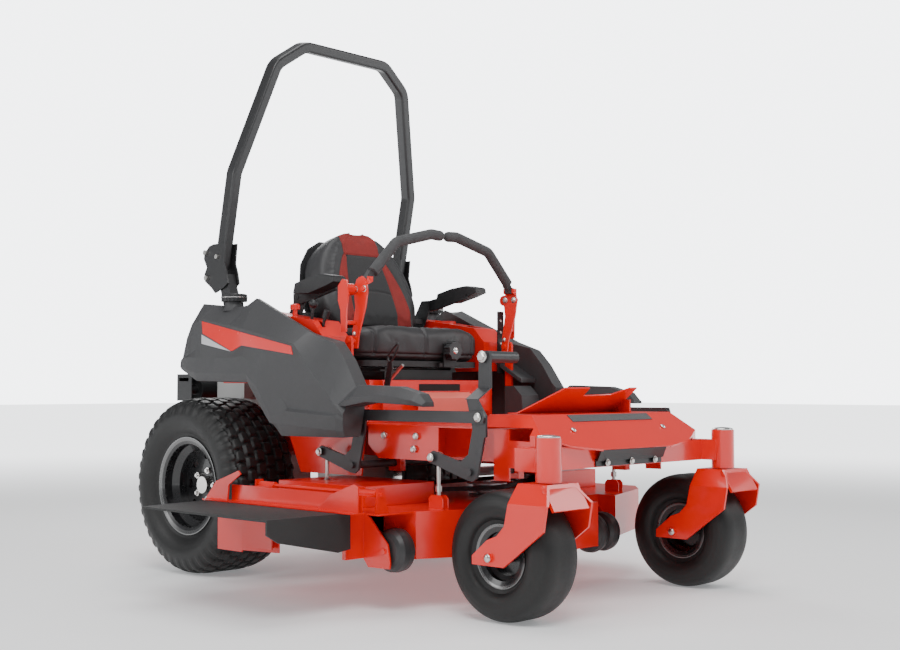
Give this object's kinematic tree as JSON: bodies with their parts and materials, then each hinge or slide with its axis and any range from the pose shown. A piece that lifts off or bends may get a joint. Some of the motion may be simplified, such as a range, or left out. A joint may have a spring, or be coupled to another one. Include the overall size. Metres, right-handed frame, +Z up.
{
  "type": "riding lawn mower",
  "caption": "Zero-turn riding mower with side-discharge deck, roll-over bar, sprung seat, steering levers and trailing front casters.",
  "frame": {"origin": "on the ground under the middle of the bounding box", "axes": "+X forward, +Y to the operator left, +Z up"},
  "size_m": [2.054, 1.68, 1.8912],
  "materials": {
    "red_paint": "gloss powder coat",
    "black_paint": "satin black powder coat",
    "grey_paint": "satin charcoal powder coat",
    "zinc": "zinc plated",
    "tyre_rubber": "turf tyre rubber",
    "soft_rubber": "moulded rubber",
    "fender_plastic": "fine grained polyethylene",
    "black_plastic": "fine grained",
    "rim_paint": "gloss black",
    "seat_vinyl": "grained vinyl",
    "grip_foam": "closed-cell foam",
    "cast_metal": "cast"
  },
  "bodies": {
    "chassis": {"console_left": "red_paint", "console_right": "red_paint", "engine_block": "cast_metal", "engine_cover": "black_plastic", "fender_left": "fender_plastic", "fender_right": "fender_plastic", "foot_rest": "red_paint", "frame_bolts": "zinc", "front_beam": "red_paint", "hood": "red_paint", "hood_trim": "black_paint", "main_frame": "red_paint", "muffler": "black_paint", "rops_posts": "black_paint", "seat_base": "red_paint", "transaxles": "cast_metal"},
    "caster_fork_right": {"caster_fork_right": "red_paint"},
    "caster_wheel_right": {"caster_tyre_right": "tyre_rubber", "caster_rim_right": "rim_paint"},
    "drive_wheel_right": {"drive_tyre_right": "tyre_rubber", "drive_rim_right": "rim_paint", "drive_hub_right": "zinc"},
    "fuel_cap_right": {"fuel_cap_right": "black_plastic"},
    "lever_bracket_right": {"lever_bracket_right": "red_paint"},
    "control_lever_right": {"control_lever_right": "grip_foam"},
    "armrest_right": {"armrest_right": "black_plastic"},
    "caster_fork_left": {"caster_fork_left": "red_paint"},
    "caster_wheel_left": {"caster_tyre_left": "tyre_rubber", "caster_rim_left": "rim_paint"},
    "drive_wheel_left": {"drive_tyre_left": "tyre_rubber", "drive_rim_left": "rim_paint", "drive_hub_left": "zinc"},
    "fuel_cap_left": {"fuel_cap_left": "black_plastic"},
    "lever_bracket_left": {"lever_bracket_left": "red_paint"},
    "control_lever_left": {"control_lever_left": "grip_foam"},
    "armrest_left": {"armrest_left": "black_plastic"},
    "rops_hoop": {"rops_hoop": "black_paint"},
    "seat_carriage": {"seat_suspension": "black_paint"},
    "seat": {"seat_pan": "black_plastic", "seat_cushion": "seat_vinyl", "seat_back": "seat_vinyl"},
    "seat_knob": {"seat_knob": "black_plastic"},
    "deck": {"deck_shell": "red_paint", "spindle_housings": "cast_metal", "deck_belt": "soft_rubber", "belt_covers": "red_paint", "hanger_rods": "zinc"},
    "chute": {"chute_frame": "red_paint", "chute_plate": "soft_rubber"},
    "blade_centre": {"blade_centre": "zinc"},
    "blade_left": {"blade_left": "zinc"},
    "blade_right": {"blade_right": "zinc"},
    "roller_right": {"roller_right": "black_plastic"},
    "roller_left": {"roller_left": "black_plastic"},
    "lift_crank_rear": {"lift_crank_rear": "grey_paint"},
    "lift_crank_front": {"lift_crank_front": "grey_paint"},
    "lift_link": {"lift_link": "grey_paint"},
    "park_brake_lever": {"park_brake_lever": "black_plastic"},
    "throttle_lever": {"throttle_lever": "black_plastic"},
    "pto_knob": {"pto_knob": "red_paint"}
  },
  "joints": [
    {"name": "caster_swivel_right", "type": "hinge", "parent": "chassis", "child": "caster_fork_right", "pos_m": [0.947, -0.29, 0.44], "axis": [0, 0, 1], "continuous": true},
    {"name": "caster_spin_right", "type": "hinge", "parent": "caster_fork_right", "child": "caster_wheel_right", "pos_m": [0.821, -0.29, 0.18], "axis": [0, 1, 0], "continuous": true},
    {"name": "drive_spin_right", "type": "hinge", "parent": "chassis", "child": "drive_wheel_right", "pos_m": [-0.557, -0.292, 0.302], "axis": [0, 1, 0], "continuous": true},
    {"name": "fuel_cap_turn_right", "type": "hinge", "parent": "chassis", "child": "fuel_cap_right", "pos_m": [-0.398, -0.334, 0.94], "axis": [0, 0, 1], "range_deg": [0, 120]},
    {"name": "lever_drive_right", "type": "hinge", "parent": "chassis", "child": "lever_bracket_right", "pos_m": [0.086, -0.238, 0.788], "axis": [0, 1, 0], "range_deg": [-12, 16], "stiffness_Nm_per_rad": 60},
    {"name": "lever_swing_right", "type": "hinge", "parent": "lever_bracket_right", "child": "control_lever_right", "pos_m": [0.123, -0.202, 0.988], "axis": [1, 0, 0], "range_deg": [0, 38]},
    {"name": "armrest_lift_right", "type": "hinge", "parent": "seat", "child": "armrest_right", "pos_m": [-0.259, -0.166, 0.95], "axis": [0, 1, 0], "range_deg": [-92, 0]},
    {"name": "caster_swivel_left", "type": "hinge", "parent": "chassis", "child": "caster_fork_left", "pos_m": [0.947, 0.59, 0.44], "axis": [0, 0, 1], "continuous": true},
    {"name": "caster_spin_left", "type": "hinge", "parent": "caster_fork_left", "child": "caster_wheel_left", "pos_m": [0.821, 0.59, 0.18], "axis": [0, 1, 0], "continuous": true},
    {"name": "drive_spin_left", "type": "hinge", "parent": "chassis", "child": "drive_wheel_left", "pos_m": [-0.557, 0.592, 0.302], "axis": [0, 1, 0], "continuous": true},
    {"name": "fuel_cap_turn_left", "type": "hinge", "parent": "chassis", "child": "fuel_cap_left", "pos_m": [-0.398, 0.634, 0.94], "axis": [0, 0, 1], "range_deg": [0, 120]},
    {"name": "lever_drive_left", "type": "hinge", "parent": "chassis", "child": "lever_bracket_left", "pos_m": [0.086, 0.538, 0.788], "axis": [0, 1, 0], "range_deg": [-12, 16], "stiffness_Nm_per_rad": 60},
    {"name": "lever_swing_left", "type": "hinge", "parent": "lever_bracket_left", "child": "control_lever_left", "pos_m": [0.123, 0.502, 0.988], "axis": [1, 0, 0], "range_deg": [-38, 0]},
    {"name": "armrest_lift_left", "type": "hinge", "parent": "seat", "child": "armrest_left", "pos_m": [-0.259, 0.466, 0.95], "axis": [0, 1, 0], "range_deg": [-92, 0]},
    {"name": "rops_fold", "type": "hinge", "parent": "chassis", "child": "rops_hoop", "pos_m": [-0.538, 0.15, 1.1], "axis": [0, 1, 0], "range_deg": [-110, 0]},
    {"name": "seat_bounce", "type": "slide", "parent": "chassis", "child": "seat_carriage", "axis": [0, 0, 1], "range_m": [-0.04, 0], "stiffness_N_per_m": 9000, "springref_m": 0.08},
    {"name": "seat_slide", "type": "slide", "parent": "seat_carriage", "child": "seat", "axis": [1, 0, 0], "range_m": [-0.08, 0]},
    {"name": "seat_knob_turn", "type": "hinge", "parent": "seat", "child": "seat_knob", "pos_m": [0.069, 0.26, 0.768], "axis": [1, 0, 0], "continuous": true},
    {"name": "deck_lift", "type": "slide", "parent": "chassis", "child": "deck", "axis": [0, 0, 1], "range_m": [-0.1, 0]},
    {"name": "chute_flip", "type": "hinge", "parent": "deck", "child": "chute", "pos_m": [0.243, -0.502, 0.34], "axis": [1, 0, 0], "range_deg": [-88, 0]},
    {"name": "blade_spin_centre", "type": "hinge", "parent": "deck", "child": "blade_centre", "pos_m": [0.328, 0.15, 0.26], "axis": [0, 0, 1], "continuous": true},
    {"name": "blade_spin_left", "type": "hinge", "parent": "deck", "child": "blade_left", "pos_m": [0.133, 0.582, 0.26], "axis": [0, 0, 1], "continuous": true},
    {"name": "blade_spin_right", "type": "hinge", "parent": "deck", "child": "blade_right", "pos_m": [0.133, -0.282, 0.26], "axis": [0, 0, 1], "continuous": true},
    {"name": "roller_spin_right", "type": "hinge", "parent": "deck", "child": "roller_right", "pos_m": [0.493, -0.426, 0.176], "axis": [0, 1, 0], "continuous": true},
    {"name": "roller_spin_left", "type": "hinge", "parent": "deck", "child": "roller_left", "pos_m": [0.629, 0.34, 0.176], "axis": [0, 1, 0], "continuous": true},
    {"name": "lift_crank_rear_turn", "type": "hinge", "parent": "chassis", "child": "lift_crank_rear", "pos_m": [0.178, 0.15, 0.4], "axis": [0, 1, 0], "range_deg": [-41, 0.5]},
    {"name": "lift_crank_front_turn", "type": "hinge", "parent": "chassis", "child": "lift_crank_front", "pos_m": [0.675, 0.15, 0.4], "axis": [0, 1, 0], "range_deg": [-41, 0.5]},
    {"name": "lift_link_turn", "type": "hinge", "parent": "lift_crank_front", "child": "lift_link", "pos_m": [0.711, 0.15, 0.556], "axis": [0, 1, 0], "range_deg": [-0.5, 41]},
    {"name": "park_brake_turn", "type": "hinge", "parent": "chassis", "child": "park_brake_lever", "pos_m": [-0.104, -0.245, 0.812], "axis": [0, 1, 0], "range_deg": [-20, 0]},
    {"name": "throttle_turn", "type": "hinge", "parent": "chassis", "child": "throttle_lever", "pos_m": [-0.037, -0.262, 0.8], "axis": [0, 1, 0], "range_deg": [-24, 0]},
    {"name": "pto_pull", "type": "slide", "parent": "chassis", "child": "pto_knob", "axis": [0, 0, 1], "range_m": [0, 0.012]}
  ],
  "couplings": [
    {"joint": "blade_spin_left", "follows": "blade_spin_centre", "ratio": 1},
    {"joint": "blade_spin_right", "follows": "blade_spin_centre", "ratio": 1},
    {"joint": "lift_crank_rear_turn", "follows": "deck_lift", "rad_per_m": 7.07},
    {"joint": "lift_crank_front_turn", "follows": "deck_lift", "rad_per_m": 7.07},
    {"joint": "lift_link_turn", "follows": "deck_lift", "rad_per_m": -7.07}
  ]
}
